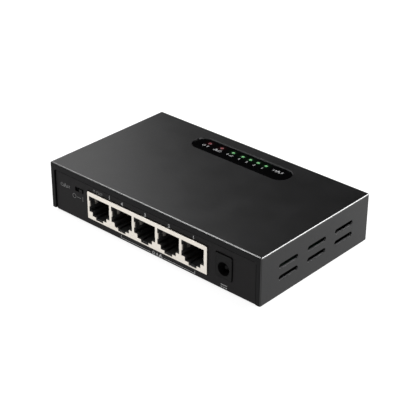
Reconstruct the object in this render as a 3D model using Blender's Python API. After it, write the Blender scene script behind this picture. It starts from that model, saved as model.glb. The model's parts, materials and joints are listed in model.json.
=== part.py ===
"""Five-port desktop network switch in a folded steel case, one object for each separate piece.

Units are metres. The origin is on the ground under the middle of the case, +X runs to the right along the
face with the ports, +Y runs to the back and +Z is up. Heights named *_Z are measured from the underside of
the case, which stands on its feet: level() turns them into world heights.
"""

import math

import bmesh
import bpy

MM = 0.001

# Case
CASE_WIDTH = 124.0 * MM
CASE_DEPTH = 73.0 * MM
CASE_HEIGHT = 23.0 * MM
FOOT_HEIGHT = 2.0 * MM
SHEET = 0.8 * MM
BEND_RADIUS = 0.7 * MM
BEND_SEGMENTS = 3
CLEARANCE = 0.3 * MM
HALF_WIDTH = CASE_WIDTH / 2
HALF_DEPTH = CASE_DEPTH / 2

# Openings at the front and the back of the cover, and the chassis panels that fill them
LIP_HEIGHT = 3.0 * MM
RIM_WIDTH = 2.4 * MM
OPENING_CORNER = 1.2 * MM
PANEL_GAP = 0.6 * MM
PANEL_RECESS = 0.6 * MM
PANEL_HALF = HALF_WIDTH - RIM_WIDTH - PANEL_GAP
PANEL_TOP_Z = CASE_HEIGHT - LIP_HEIGHT - 0.6 * MM
PANEL_FRONT_Y = -HALF_DEPTH + PANEL_RECESS
PANEL_INNER_Y = PANEL_FRONT_Y + SHEET
TRAY_UNDER_Z = -0.5 * MM
TRAY_FLOOR_Z = TRAY_UNDER_Z + SHEET
TRAY_BEND_RADIUS = 0.4 * MM
FLOOR_HALF_WIDTH = HALF_WIDTH - SHEET - CLEARANCE
FLOOR_HALF_DEPTH = HALF_DEPTH - SHEET - CLEARANCE

# Cooling slots in both sides of the cover
VENT_LENGTH = 12.4 * MM
VENT_HEIGHT = 2.3 * MM
VENT_PITCH = 18.7 * MM
VENT_ROWS_Z = (8.1 * MM, 13.7 * MM)

# Tabs inside the cover that take the case screws
TAB_LENGTH = 12.0 * MM
TAB_REACH = 7.0 * MM
TAB_UNDER_Z = 1.1 * MM
TAB_LEG_TOP_Z = 6.0 * MM
CASE_SCREW_X = 57.4 * MM
CASE_SCREW_Y = 20.0 * MM
SCREW_HOLE_RADIUS = 1.6 * MM
SHANK_RADIUS = 1.25 * MM
CASE_SCREW_HEAD_RADIUS = 2.6 * MM
CASE_SCREW_HEAD_HEIGHT = 0.9 * MM
CASE_SCREW_END_Z = 2.8 * MM

# Indicator window
WINDOW_X = -0.4 * MM
WINDOW_Y = HALF_DEPTH - 12.4 * MM
WINDOW_WIDTH = 56.6 * MM
WINDOW_DEPTH = 11.8 * MM
WINDOW_CORNER = 5.6 * MM
WINDOW_RECESS = 0.4 * MM
WINDOW_FLANGE = 2.0 * MM
WINDOW_FLANGE_THICKNESS = 1.2 * MM
LIGHT_Y = HALF_DEPTH - 10.1 * MM
STATUS_LIGHTS_X = (-21.3 * MM, -14.0 * MM, -7.0 * MM)
PORT_LIGHTS_X = (-1.25 * MM, 3.3 * MM, 7.8 * MM, 12.4 * MM)
LIGHTS_X = STATUS_LIGHTS_X + PORT_LIGHTS_X
RED_LIGHTS = 2
PIPE_RADIUS = 0.75 * MM
PIPE_TIP_Z = CASE_HEIGHT - WINDOW_RECESS - 0.1 * MM
PIPE_FOOT_Z = 4.3 * MM
PIPE_BAR_Z = (9.0 * MM, 11.0 * MM)
PIPE_BAR_DEPTH = 3.0 * MM
PIPE_LEG_X = (-25.2 * MM, 15.8 * MM)
PIPE_LEG_WIDTH = 1.6 * MM
LED_SIZE = (2.0 * MM, 1.2 * MM, 0.9 * MM)

# Circuit board
BOARD_HALF_WIDTH = 53.0 * MM
BOARD_FRONT_Y = -34.6 * MM
BOARD_BACK_Y = 31.0 * MM
BOARD_UNDER_Z = 1.7 * MM
BOARD_TOP_Z = 2.7 * MM
PART_Z = BOARD_TOP_Z + CLEARANCE
BOARD_SCREW_X = 49.0 * MM
BOARD_SCREWS_Y = (-17.0 * MM, 25.0 * MM)
BOSS_RADIUS = 3.2 * MM
BOSS_TOP_Z = BOARD_UNDER_Z - CLEARANCE
BOARD_SCREW_HEAD_RADIUS = 2.6 * MM
BOARD_SCREW_HEAD_HEIGHT = 1.9 * MM
BOARD_SCREW_END_Z = 0.3 * MM

# Row of five network ports: sheet shield outside, moulded housing inside
PORTS = 5
PORT_PITCH = 13.97 * MM
PORTS_X = -2.8 * MM
BLOCK_X = -2.5 * MM
BLOCK_WIDTH = 71.2 * MM
BLOCK_BOTTOM_Z = 3.0 * MM
BLOCK_TOP_Z = 16.5 * MM
BLOCK_FRONT_Y = -HALF_DEPTH + 0.1 * MM
BLOCK_BACK_Y = -18.6 * MM
BLOCK_CORNER = 0.5 * MM
SHIELD_SHEET = 0.3 * MM
SHIELD_OPENING = {"half": (6.35 * MM, 4.4 * MM, 2.25 * MM),
                  "z": (14.35 * MM, 6.7 * MM, 4.85 * MM, 3.6 * MM)}
HOUSING_CAVITY = {"half": (6.05 * MM, 4.3 * MM, 2.1 * MM),
                  "z": (14.1 * MM, 7.0 * MM, 5.1 * MM, 4.15 * MM)}
HOUSING_INSET = SHIELD_SHEET + CLEARANCE
CAVITY_END_Y = -21.4 * MM
CONTACTS = 8
CONTACT_PITCH = 1.02 * MM
CONTACT_WIDTH = 0.5 * MM
CONTACT_PLATE_HALF = 4.7 * MM
CONTACT_PLATE_Y = (-33.4 * MM, -21.7 * MM)
CONTACT_PLATE_Z = (13.45 * MM, 13.8 * MM)
CONTACT_WIRE = ((-32.8 * MM, 13.6 * MM), (-24.0 * MM, 13.05 * MM),
                (-24.0 * MM, 12.75 * MM), (-32.8 * MM, 13.3 * MM))

# Slide switch
SWITCH_X = -43.8 * MM
SWITCH_Z = 14.55 * MM
SWITCH_SLOT = (5.4 * MM, 2.1 * MM)
SWITCH_TRAVEL = 2.2 * MM
KNOB_SIZE = (2.2 * MM, 1.5 * MM)
KNOB_FRONT_Y = PANEL_FRONT_Y - 0.3 * MM
KNOB_REST_X = SWITCH_X + SWITCH_TRAVEL / 2
CARRIAGE_SIZE = (4.2 * MM, 1.2 * MM, 2.4 * MM)
FRAME_SIZE = (9.0 * MM, 3.4 * MM, 4.4 * MM)
FRAME_FRONT_Y = PANEL_INNER_Y + CLEARANCE
FRAME_SHEET = 0.5 * MM
SWITCH_BASE_DEPTH = 3.4 * MM
SWITCH_RISER_WIDTH = 7.0 * MM

# Barrel power inlet
JACK_X = 42.2 * MM
JACK_CUT_WIDTH = 9.4 * MM
JACK_CUT_Z = (4.8 * MM, 16.6 * MM)
JACK_CUT_CORNER = 0.9 * MM
JACK_COLLAR_WIDTH = 8.7 * MM
JACK_COLLAR_Z = (5.15 * MM, 16.2 * MM)
JACK_FRONT_Y = PANEL_FRONT_Y - 0.4 * MM
JACK_BODY_WIDTH = 9.0 * MM
JACK_BODY_TOP_Z = 15.4 * MM
JACK_BACK_Y = -22.4 * MM
JACK_BORE_Z = 9.6 * MM
JACK_BORE_RADIUS = 3.15 * MM
JACK_BORE_END_Y = -24.4 * MM
JACK_PIN_RADIUS = 1.05 * MM
JACK_PIN_TIP_Y = -34.6 * MM
JACK_PIN_END_Y = -21.4 * MM
JACK_SPRING_HALF = 0.9 * MM
JACK_SPRING_DROP = (2.2 * MM, 2.6 * MM)
JACK_SPRING_Y = (-32.4 * MM, -21.8 * MM)

# Parts on the board: centre x, centre y, width, depth, height
MAGNETICS_Y = -11.0 * MM
MAGNETICS_SIZE = (12.2 * MM, 9.4 * MM, 5.8 * MM)
SWITCH_CHIP = (-6.0 * MM, 7.0 * MM, 14.0 * MM, 14.0 * MM, 1.4 * MM)
PAD_THICKNESS = 0.5 * MM
SINK_BASE = 1.5 * MM
SINK_HEIGHT = 7.5 * MM
SINK_FINS = 6
SINK_FIN_THICKNESS = 0.9 * MM
POWER_CONTROLLER = (18.0 * MM, 7.0 * MM, 9.0 * MM, 9.0 * MM, 1.1 * MM)
FUSE = (30.0 * MM, -2.0 * MM, 7.4 * MM, 3.0 * MM, 2.8 * MM)
POWER_DIODE = (30.0 * MM, 8.0 * MM, 6.6 * MM, 5.9 * MM, 2.3 * MM)
POWER_INDUCTOR = (43.0 * MM, -4.0 * MM, 11.6 * MM, 11.6 * MM, 6.0 * MM)
CAPACITORS = ((34.0 * MM, 19.5 * MM, 5.0 * MM, 12.5 * MM), (42.5 * MM, 9.0 * MM, 4.0 * MM, 10.5 * MM),
              (-34.0 * MM, 6.0 * MM, 3.2 * MM, 8.0 * MM))
CRYSTAL = (-22.0 * MM, 7.0 * MM, 10.6 * MM, 4.4 * MM, 3.3 * MM)

# Feet
FOOT_X = 50.0 * MM
FOOT_Y = 26.0 * MM
FOOT_RADIUS = 4.2 * MM


def level(height):
    """World height of a point given from the underside of the case."""
    return FOOT_HEIGHT + height


def clear_scene():
    for item in list(bpy.data.objects):
        bpy.data.objects.remove(item, do_unlink=True)


def finish(name, colour, roughness, metallic=0.0):
    """A Principled material with one colour, roughness and metallic value."""
    made = bpy.data.materials.get(name) or bpy.data.materials.new(name)
    made.use_nodes = True
    shader = made.node_tree.nodes["Principled BSDF"]
    shader.inputs["Base Color"].default_value = (*colour, 1.0)
    shader.inputs["Roughness"].default_value = roughness
    shader.inputs["Metallic"].default_value = metallic
    return made


def place(name, bm, centre, look=None):
    """Turns a bmesh in world coordinates into an object whose origin is at centre."""
    bmesh.ops.recalc_face_normals(bm, faces=bm.faces)
    bmesh.ops.translate(bm, verts=bm.verts, vec=[-value for value in centre])
    mesh = bpy.data.meshes.new(name)
    bm.to_mesh(mesh)
    bm.free()
    if look:
        mesh.materials.append(look)
    item = bpy.data.objects.new(name, mesh)
    item.location = centre
    bpy.context.scene.collection.objects.link(item)
    return item


def span(centre, size):
    return centre - size / 2, centre + size / 2


def box_mesh(x, y, z):
    """A box between the two limits given on each axis."""
    bm = bmesh.new()
    bmesh.ops.create_cube(bm, size=1.0)
    for vert in bm.verts:
        vert.co = [limits[0] if side < 0 else limits[1] for side, limits in zip(vert.co, (x, y, z))]
    return bm


def middle(*limits):
    return tuple(sum(pair) / 2 for pair in limits)


def box(name, x, y, z, look=None, rounding=0.0, segments=2):
    bm = box_mesh(x, y, z)
    if rounding:
        bmesh.ops.bevel(bm, geom=bm.edges, offset=rounding, segments=segments, profile=0.5, affect="EDGES")
    return place(name, bm, middle(x, y, z), look)


def chip(name, place_and_size, look, rounding=0.15 * MM):
    """A rectangular part that stands on the board."""
    x, y, width, depth, height = place_and_size
    heights = (level(PART_Z), level(PART_Z + height))
    return box(name, span(x, width), span(y, depth), heights, look, rounding, segments=1)


def rounded_outline(centre, size, radius, segments=5, corners=(True, True, True, True)):
    """Closed outline of a rectangle with rounded corners, anticlockwise from the lower right corner."""
    half_x, half_y = size[0] / 2, size[1] / 2
    points = []
    for index, (sign_x, sign_y) in enumerate(((1, -1), (1, 1), (-1, 1), (-1, -1))):
        if not corners[index]:
            points.append((centre[0] + sign_x * half_x, centre[1] + sign_y * half_y))
            continue
        for step in range(segments + 1):
            angle = math.radians(-90 + 90 * index + 90 * step / segments)
            points.append((centre[0] + sign_x * (half_x - radius) + radius * math.cos(angle),
                           centre[1] + sign_y * (half_y - radius) + radius * math.sin(angle)))
    return points


def circle_outline(centre, radius, segments=20):
    turn = 2 * math.pi / segments
    return [(centre[0] + radius * math.cos(step * turn), centre[1] + radius * math.sin(step * turn))
            for step in range(segments)]


def port_outline(x, opening):
    """The stepped opening of a network port: plug body above, latch channel in two steps below."""
    wide, narrow, slim = opening["half"]
    top, shoulder, step, floor = opening["z"]
    right = [(slim, floor), (slim, step), (narrow, step), (narrow, shoulder), (wide, shoulder), (wide, top)]
    left = [(-side, height) for side, height in reversed(right)]
    return [(x + side, level(height)) for side, height in right + left]


def prism_mesh(outlines, axis, limits):
    """Each outline extruded along axis between two limits.

    An outline holds (y, z) points for axis X, (x, z) for Y and (x, y) for Z.
    """
    slot = "XYZ".index(axis)
    bm = bmesh.new()
    for outline in outlines:
        rings = []
        for limit in limits:
            rings.append([bm.verts.new((*point[:slot], limit, *point[slot:])) for point in outline])
        bm.faces.new(rings[0])
        bm.faces.new(rings[1])
        count = len(outline)
        for index in range(count):
            after = (index + 1) % count
            bm.faces.new((rings[0][index], rings[0][after], rings[1][after], rings[1][index]))
    return bm


def prism(name, outlines, axis, limits, centre, look=None):
    return place(name, prism_mesh(outlines, axis, limits), centre, look)


def turned(name, profile, centre, look, segments=24):
    """A round piece on a vertical axis, from a profile of (radius, world height) points listed upwards."""
    bm = bmesh.new()
    turn = 2 * math.pi / segments
    rings = []
    for radius, height in profile:
        rings.append([bm.verts.new((centre[0] + radius * math.cos(step * turn),
                                    centre[1] + radius * math.sin(step * turn), height))
                      for step in range(segments)])
    bm.faces.new(rings[0])
    bm.faces.new(rings[-1])
    for lower, upper in zip(rings, rings[1:]):
        for index in range(segments):
            after = (index + 1) % segments
            bm.faces.new((lower[index], lower[after], upper[after], upper[index]))
    item = place(name, bm, (centre[0], centre[1], profile[0][1]), look)
    smooth(item)
    return item


def smooth(item, degrees=35):
    item.data.shade_smooth()
    item.data.set_sharp_from_angle(angle=math.radians(degrees))


def combine(target, tool, operation):
    """Cuts tool from target, or joins it to target, and keeps tool as a hidden guide."""
    step = target.modifiers.new(tool.name, "BOOLEAN")
    step.operation = operation
    step.solver = "EXACT"
    step.object = tool
    tool.hide_render = True
    tool.display_type = "WIRE"


def cut(target, tool):
    combine(target, tool, "DIFFERENCE")


def join(target, tool):
    combine(target, tool, "UNION")


def four_corners(x, y_values):
    return [(side * x, y) for y in y_values for side in (-1, 1)]


CASE_SCREWS = four_corners(CASE_SCREW_X, (-CASE_SCREW_Y, CASE_SCREW_Y))
BOARD_SCREWS = four_corners(BOARD_SCREW_X, BOARD_SCREWS_Y)
FEET = four_corners(FOOT_X, (-FOOT_Y, FOOT_Y))
PORT_CENTRES = [PORTS_X + (index - (PORTS - 1) / 2) * PORT_PITCH for index in range(PORTS)]


def window_outline(margin):
    """Outline of the indicator window, grown by margin."""
    size = (WINDOW_WIDTH + 2 * margin, WINDOW_DEPTH + 2 * margin)
    return rounded_outline((WINDOW_X, WINDOW_Y), size, WINDOW_CORNER + margin, segments=8)


def cover_block():
    """Outer form of the cover, with a bend radius on its top and upright edges."""
    bm = box_mesh((-HALF_WIDTH, HALF_WIDTH), (-HALF_DEPTH, HALF_DEPTH), (level(0.0), level(CASE_HEIGHT)))
    bent = [edge for edge in bm.edges if max(vert.co.z for vert in edge.verts) > level(CASE_HEIGHT) - SHEET]
    bmesh.ops.bevel(bm, geom=bent, offset=BEND_RADIUS, segments=BEND_SEGMENTS, profile=0.5, affect="EDGES")
    return bm


def make_cover(look):
    """Steel cover: top, sides, folded lips around the front and back openings, and welded screw tabs."""
    cover = place("top_cover", cover_block(), (0.0, 0.0, level(CASE_HEIGHT / 2)), look)
    inner_x = HALF_WIDTH - SHEET
    inner_y = HALF_DEPTH - SHEET
    below = level(-2 * SHEET)
    hollow = box("cover_hollow", (-inner_x, inner_x), (-inner_y, inner_y),
                 (below, level(CASE_HEIGHT - SHEET)))
    cut(cover, hollow)
    opening_top = level(CASE_HEIGHT - LIP_HEIGHT)
    opening_size = (CASE_WIDTH - 2 * RIM_WIDTH, opening_top - below)
    opening = rounded_outline((0.0, (below + opening_top) / 2), opening_size, OPENING_CORNER,
                              corners=(False, True, True, False))
    cut(cover, prism("panel_openings", [opening], "Y", (-CASE_DEPTH, CASE_DEPTH), (0.0, 0.0, level(0.0))))
    vents = [rounded_outline((column * VENT_PITCH, level(height)), (VENT_LENGTH, VENT_HEIGHT),
                             0.49 * VENT_HEIGHT, segments=4)
             for column in (-1, 0, 1) for height in VENT_ROWS_Z]
    cut(cover, prism("vent_slots", vents, "X", (-CASE_WIDTH, CASE_WIDTH), (0.0, 0.0, level(0.0))))
    top_limits = (level(CASE_HEIGHT - 2 * SHEET), level(CASE_HEIGHT + SHEET))
    window_opening = prism("window_opening", [window_outline(0.0)], "Z", top_limits,
                           (WINDOW_X, WINDOW_Y, top_limits[0]))
    cut(cover, window_opening)
    for index, (x, y) in enumerate(CASE_SCREWS):
        side = math.copysign(1.0, x)
        outside = side * (HALF_WIDTH - SHEET / 2)
        inside = side * (HALF_WIDTH - SHEET - TAB_REACH)
        leg = side * (HALF_WIDTH - 2 * SHEET)
        under, over, top = level(TAB_UNDER_Z), level(TAB_UNDER_Z + SHEET), level(TAB_LEG_TOP_Z)
        outline = [(outside, under), (inside, under), (inside, over),
                   (leg, over), (leg, top), (outside, top)]
        tab = prism(f"tab_{index + 1}", [outline], "Y", span(y, TAB_LENGTH), (x, y, under))
        join(cover, tab)
    holes = [circle_outline(centre, SCREW_HOLE_RADIUS, segments=16) for centre in CASE_SCREWS]
    hole_limits = (level(TAB_UNDER_Z - SHEET), level(TAB_UNDER_Z + 2 * SHEET))
    cut(cover, prism("tab_holes", holes, "Z", hole_limits, (0.0, 0.0, level(0.0))))
    smooth(cover)
    return cover


def tray_profile():
    """Side profile of the chassis: floor with a panel folded up at the front and the back."""
    outer_y, inner_y = -PANEL_FRONT_Y, -PANEL_INNER_Y
    corner = []
    for degrees in (0, 30, 60, 90):
        angle = math.radians(degrees)
        corner.append((outer_y - TRAY_BEND_RADIUS * (1 - math.sin(angle)),
                       TRAY_UNDER_Z + TRAY_BEND_RADIUS * (1 - math.cos(angle))))
    right = corner + [(outer_y, PANEL_TOP_Z), (inner_y, PANEL_TOP_Z), (inner_y, TRAY_FLOOR_Z)]
    left = [(-y, height) for y, height in reversed(right)]
    return [(y, level(height)) for y, height in right + left]


def make_chassis(look):
    """Steel tray: floor, front panel with the cut-outs for the connectors, plain back panel."""
    origin = (0.0, 0.0, level(0.0))
    chassis = prism("bottom_chassis", [tray_profile()], "X", (-PANEL_HALF, PANEL_HALF), origin, look)
    wings = box("floor_wings", (-FLOOR_HALF_WIDTH, FLOOR_HALF_WIDTH), (-FLOOR_HALF_DEPTH, FLOOR_HALF_DEPTH),
                (level(TRAY_UNDER_Z), level(TRAY_FLOOR_Z)))
    join(chassis, wings)
    bosses = [circle_outline(centre, BOSS_RADIUS) for centre in BOARD_SCREWS]
    join(chassis, prism("board_bosses", bosses, "Z", (level(0.0), level(BOSS_TOP_Z)), origin))
    screws = CASE_SCREWS + BOARD_SCREWS
    holes = [circle_outline(centre, SCREW_HOLE_RADIUS, segments=16) for centre in screws]
    hole_limits = (level(TRAY_UNDER_Z - SHEET), level(BOSS_TOP_Z + SHEET))
    cut(chassis, prism("chassis_holes", holes, "Z", hole_limits, origin))
    block_size = (BLOCK_WIDTH + 2.4 * CLEARANCE, BLOCK_TOP_Z - BLOCK_BOTTOM_Z + 2.4 * CLEARANCE)
    block_centre = (BLOCK_X, level((BLOCK_TOP_Z + BLOCK_BOTTOM_Z) / 2))
    jack_centre = (JACK_X, level(sum(JACK_CUT_Z) / 2))
    jack_size = (JACK_CUT_WIDTH, JACK_CUT_Z[1] - JACK_CUT_Z[0])
    openings = [rounded_outline(block_centre, block_size, BLOCK_CORNER, segments=2),
                rounded_outline(jack_centre, jack_size, JACK_CUT_CORNER),
                rounded_outline((SWITCH_X, level(SWITCH_Z)), SWITCH_SLOT, CLEARANCE, segments=2)]
    cut_limits = (-HALF_DEPTH - SHEET, PANEL_INNER_Y + SHEET)
    cut(chassis, prism("panel_cuts", openings, "Y", cut_limits, (0.0, -HALF_DEPTH, level(0.0))))
    smooth(chassis)
    return chassis


def make_window(look):
    """Gloss plate under the cover whose raised face fills the opening in it."""
    under_cover = CASE_HEIGHT - SHEET - CLEARANCE
    bottom = level(under_cover - WINDOW_FLANGE_THICKNESS)
    origin = (WINDOW_X, WINDOW_Y, bottom)
    window = prism("indicator_window", [window_outline(WINDOW_FLANGE)], "Z", (bottom, level(under_cover)),
                   origin, look)
    face_limits = (level(under_cover - CLEARANCE), level(CASE_HEIGHT - WINDOW_RECESS))
    join(window, prism("window_face", [window_outline(-CLEARANCE)], "Z", face_limits, origin))
    holes = [circle_outline((x, LIGHT_Y), PIPE_RADIUS + CLEARANCE, segments=16) for x in LIGHTS_X]
    hole_limits = (bottom - SHEET, level(CASE_HEIGHT + SHEET))
    cut(window, prism("window_holes", holes, "Z", hole_limits, origin))
    smooth(window)
    return window


def make_light_pipe(look):
    """Clear moulding: seven rods on one bar, which stands on the board on two legs."""
    bar_heights = tuple(level(height) for height in PIPE_BAR_Z)
    pipe = box("light_pipe", PIPE_LEG_X, span(LIGHT_Y, PIPE_BAR_DEPTH), bar_heights, look)
    for index, x in enumerate(PIPE_LEG_X):
        leg = box(f"pipe_leg_{index + 1}", span(x, PIPE_LEG_WIDTH), span(LIGHT_Y, PIPE_BAR_DEPTH - CLEARANCE),
                  (level(PART_Z), bar_heights[1] - CLEARANCE))
        join(pipe, leg)
    rods = [circle_outline((x, LIGHT_Y), PIPE_RADIUS, segments=16) for x in LIGHTS_X]
    rod_heights = (level(PIPE_FOOT_Z), level(PIPE_TIP_Z))
    join(pipe, prism("pipe_rods", rods, "Z", rod_heights, (0.0, LIGHT_Y, level(0.0))))
    smooth(pipe)
    return pipe


def make_lights(red, green):
    for index, x in enumerate(LIGHTS_X):
        look = red if index < RED_LIGHTS else green
        chip(f"indicator_led_{index + 1}", (x, LIGHT_Y, *LED_SIZE), look)


def make_board(look):
    board = box("circuit_board", (-BOARD_HALF_WIDTH, BOARD_HALF_WIDTH), (BOARD_FRONT_Y, BOARD_BACK_Y),
                (level(BOARD_UNDER_Z), level(BOARD_TOP_Z)), look)
    holes = [circle_outline(centre, SCREW_HOLE_RADIUS, segments=16) for centre in BOARD_SCREWS]
    hole_limits = (level(BOARD_UNDER_Z - SHEET), level(BOARD_TOP_Z + SHEET))
    cut(board, prism("board_holes", holes, "Z", hole_limits, (0.0, 0.0, level(0.0))))
    return board


def make_shield(look):
    """Sheet box around the port housing, open below, with one stepped opening for each port."""
    x = span(BLOCK_X, BLOCK_WIDTH)
    y = (BLOCK_FRONT_Y, BLOCK_BACK_Y)
    z = (level(BLOCK_BOTTOM_Z), level(BLOCK_TOP_Z))
    outline = rounded_outline(middle(x, z), (x[1] - x[0], z[1] - z[0]), BLOCK_CORNER, segments=3,
                              corners=(False, True, True, False))
    shield = prism("port_shield", [outline], "Y", y, middle(x, y, z), look)
    hollow = box("shield_hollow", (x[0] + SHIELD_SHEET, x[1] - SHIELD_SHEET),
                 (y[0] + SHIELD_SHEET, y[1] - SHIELD_SHEET), (z[0] - SHEET, z[1] - SHIELD_SHEET))
    cut(shield, hollow)
    openings = [port_outline(centre, SHIELD_OPENING) for centre in PORT_CENTRES]
    cut(shield, prism("shield_openings", openings, "Y", span(y[0], 2 * SHEET), (PORTS_X, y[0], z[0])))
    smooth(shield)
    return shield


def make_housing(look):
    """Moulded port housing with five stepped cavities, closed at the back."""
    x = span(BLOCK_X, BLOCK_WIDTH - 2 * HOUSING_INSET)
    y = (BLOCK_FRONT_Y + HOUSING_INSET, BLOCK_BACK_Y - HOUSING_INSET)
    z = (level(BLOCK_BOTTOM_Z + CLEARANCE), level(BLOCK_TOP_Z - HOUSING_INSET))
    housing = box("port_housing", x, y, z, look)
    cavities = [port_outline(centre, HOUSING_CAVITY) for centre in PORT_CENTRES]
    cut(housing, prism("port_cavities", cavities, "Y", (y[0] - SHEET, CAVITY_END_Y), (PORTS_X, y[0], z[0])))
    return housing


def make_contacts(look):
    """One insert for each port: a plate under the cavity's ceiling with eight spring wires."""
    heights = tuple(level(height) for height in CONTACT_PLATE_Z)
    profile = [(y, level(height)) for y, height in CONTACT_WIRE]
    for index, centre in enumerate(PORT_CENTRES):
        width = span(centre, 2 * CONTACT_PLATE_HALF)
        insert = box(f"port_contacts_{index + 1}", width, CONTACT_PLATE_Y, heights, look)
        for wire in range(CONTACTS):
            x = centre + (wire - (CONTACTS - 1) / 2) * CONTACT_PITCH
            join(insert, prism(f"wire_{index + 1}_{wire + 1}", [profile], "X", span(x, CONTACT_WIDTH),
                               (x, CONTACT_PLATE_Y[0], heights[0])))


def make_slide_switch(frame_look, base_look, knob_look):
    """Slide switch behind the front panel: steel frame, tall base on the board, and the knob that slides."""
    width, depth, height = FRAME_SIZE
    centre_z = level(SWITCH_Z)
    frame_y = (FRAME_FRONT_Y, FRAME_FRONT_Y + depth)
    frame = box("switch_frame", span(SWITCH_X, width), frame_y, span(centre_z, height), frame_look)
    hollow_size = (width - 2 * FRAME_SHEET, height - 2 * FRAME_SHEET)
    hollow = box("frame_hollow", span(SWITCH_X, hollow_size[0]),
                 (frame_y[0] + FRAME_SHEET, frame_y[1] + SHEET), span(centre_z, hollow_size[1]))
    cut(frame, hollow)
    slot_size = (KNOB_SIZE[0] + SWITCH_TRAVEL + 2 * CLEARANCE, KNOB_SIZE[1] + 2 * CLEARANCE)
    slot = box("frame_slot", span(SWITCH_X, slot_size[0]), span(frame_y[0], 4 * FRAME_SHEET),
               span(centre_z, slot_size[1]))
    cut(frame, slot)

    carriage_y = frame_y[0] + FRAME_SHEET + CLEARANCE
    base_front = carriage_y + CARRIAGE_SIZE[1] + CLEARANCE
    base = box("switch_base", span(SWITCH_X, hollow_size[0] - 2 * CLEARANCE),
               (base_front, base_front + SWITCH_BASE_DEPTH), span(centre_z, hollow_size[1] - 2 * CLEARANCE),
               base_look)
    riser_y = (frame_y[1] + CLEARANCE, base_front + SWITCH_BASE_DEPTH)
    join(base, box("switch_riser", span(SWITCH_X, SWITCH_RISER_WIDTH), riser_y, (level(PART_Z), centre_z)))

    knob_centre = (KNOB_REST_X, carriage_y, centre_z)
    handle = box_mesh(span(KNOB_REST_X, KNOB_SIZE[0]), (KNOB_FRONT_Y, carriage_y + CLEARANCE),
                      span(centre_z, KNOB_SIZE[1]))
    knob = place("switch_knob", handle, knob_centre, knob_look)
    carriage = box("knob_carriage", span(KNOB_REST_X, CARRIAGE_SIZE[0]),
                   (carriage_y, carriage_y + CARRIAGE_SIZE[1]), span(centre_z, CARRIAGE_SIZE[2]))
    join(knob, carriage)
    axis = bpy.data.objects.new("knob_slide_axis", None)
    axis.location = knob_centre
    bpy.context.scene.collection.objects.link(axis)
    knob.parent = axis
    knob.location = (0.0, 0.0, 0.0)
    carriage.parent = axis
    carriage.location = [place_at - origin for place_at, origin in zip(carriage.location, knob_centre)]


def make_power_inlet(body_look, pin_look):
    """Barrel jack: moulded body with a round bore, centre pin, and the leaf spring that grips the plug."""
    bore_z = level(JACK_BORE_Z)
    body_y = (PANEL_INNER_Y + CLEARANCE, JACK_BACK_Y)
    body = box("power_jack_body", span(JACK_X, JACK_BODY_WIDTH), body_y,
               (level(PART_Z), level(JACK_BODY_TOP_Z)), body_look)
    mouth = (JACK_X, JACK_FRONT_Y, bore_z)
    collar_centre = (JACK_X, level(sum(JACK_COLLAR_Z) / 2))
    collar_size = (JACK_COLLAR_WIDTH, JACK_COLLAR_Z[1] - JACK_COLLAR_Z[0])
    collar = rounded_outline(collar_centre, collar_size, 2 * CLEARANCE, segments=3)
    join(body, prism("jack_collar", [collar], "Y", (JACK_FRONT_Y, body_y[0] + SHEET), mouth))
    bore = circle_outline((JACK_X, bore_z), JACK_BORE_RADIUS, segments=32)
    cut(body, prism("jack_bore", [bore], "Y", (JACK_FRONT_Y - SHEET, JACK_BORE_END_Y), mouth))
    pin_hole = circle_outline((JACK_X, bore_z), JACK_PIN_RADIUS + CLEARANCE, segments=16)
    back_limits = (JACK_BORE_END_Y - SHEET, JACK_BACK_Y + SHEET)
    cut(body, prism("pin_hole", [pin_hole], "Y", back_limits, mouth))
    drop = (bore_z - JACK_SPRING_DROP[1], bore_z - JACK_SPRING_DROP[0])
    cut(body, box("spring_slot", span(JACK_X, 2 * (JACK_SPRING_HALF + CLEARANCE)), back_limits,
                  (drop[0] - CLEARANCE, drop[1] + CLEARANCE)))
    smooth(body)

    pin = prism("power_jack_pin", [circle_outline((JACK_X, bore_z), JACK_PIN_RADIUS, segments=16)], "Y",
                (JACK_PIN_TIP_Y, JACK_PIN_END_Y), (JACK_X, JACK_PIN_TIP_Y, bore_z), pin_look)
    smooth(pin)
    box("power_jack_spring", span(JACK_X, 2 * JACK_SPRING_HALF), JACK_SPRING_Y, drop, pin_look)


def make_heat_sink(pad_look, sink_look):
    """Soft pad and finned block on the switch chip."""
    x, y, width, depth, height = SWITCH_CHIP
    pad_z = PART_Z + height + CLEARANCE
    sink_z = pad_z + PAD_THICKNESS + CLEARANCE
    box("thermal_pad", span(x, width - 2 * MM), span(y, depth - 2 * MM),
        (level(pad_z), level(pad_z + PAD_THICKNESS)), pad_look)
    pitch = (width - SINK_FIN_THICKNESS) / (SINK_FINS - 1)
    left, right = span(x, width)
    base_top, fin_top = level(sink_z + SINK_BASE), level(sink_z + SINK_HEIGHT)
    comb = [(left, level(sink_z)), (right, level(sink_z))]
    for fin in range(SINK_FINS):
        fin_right = right - fin * pitch
        fin_left = fin_right - SINK_FIN_THICKNESS
        comb += [(fin_right, fin_top), (fin_left, fin_top)]
        if fin < SINK_FINS - 1:
            comb += [(fin_left, base_top), (fin_left + SINK_FIN_THICKNESS - pitch, base_top)]
    prism("heat_sink", [comb], "Y", span(y, depth), (x, y, level(sink_z)), sink_look)


def make_capacitor(name, place_and_size, look):
    """Standing can with a rounded rim and the crimped groove near its foot."""
    x, y, radius, height = place_and_size
    groove = 0.25 * MM
    profile = [(radius - groove, 0.0), (radius, groove), (radius, 5 * groove), (radius - groove, 7 * groove),
               (radius, 9 * groove), (radius, height - 2 * groove), (radius - 2 * groove, height)]
    turned(name, [(size, level(PART_Z + rise)) for size, rise in profile], (x, y), look)


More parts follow.
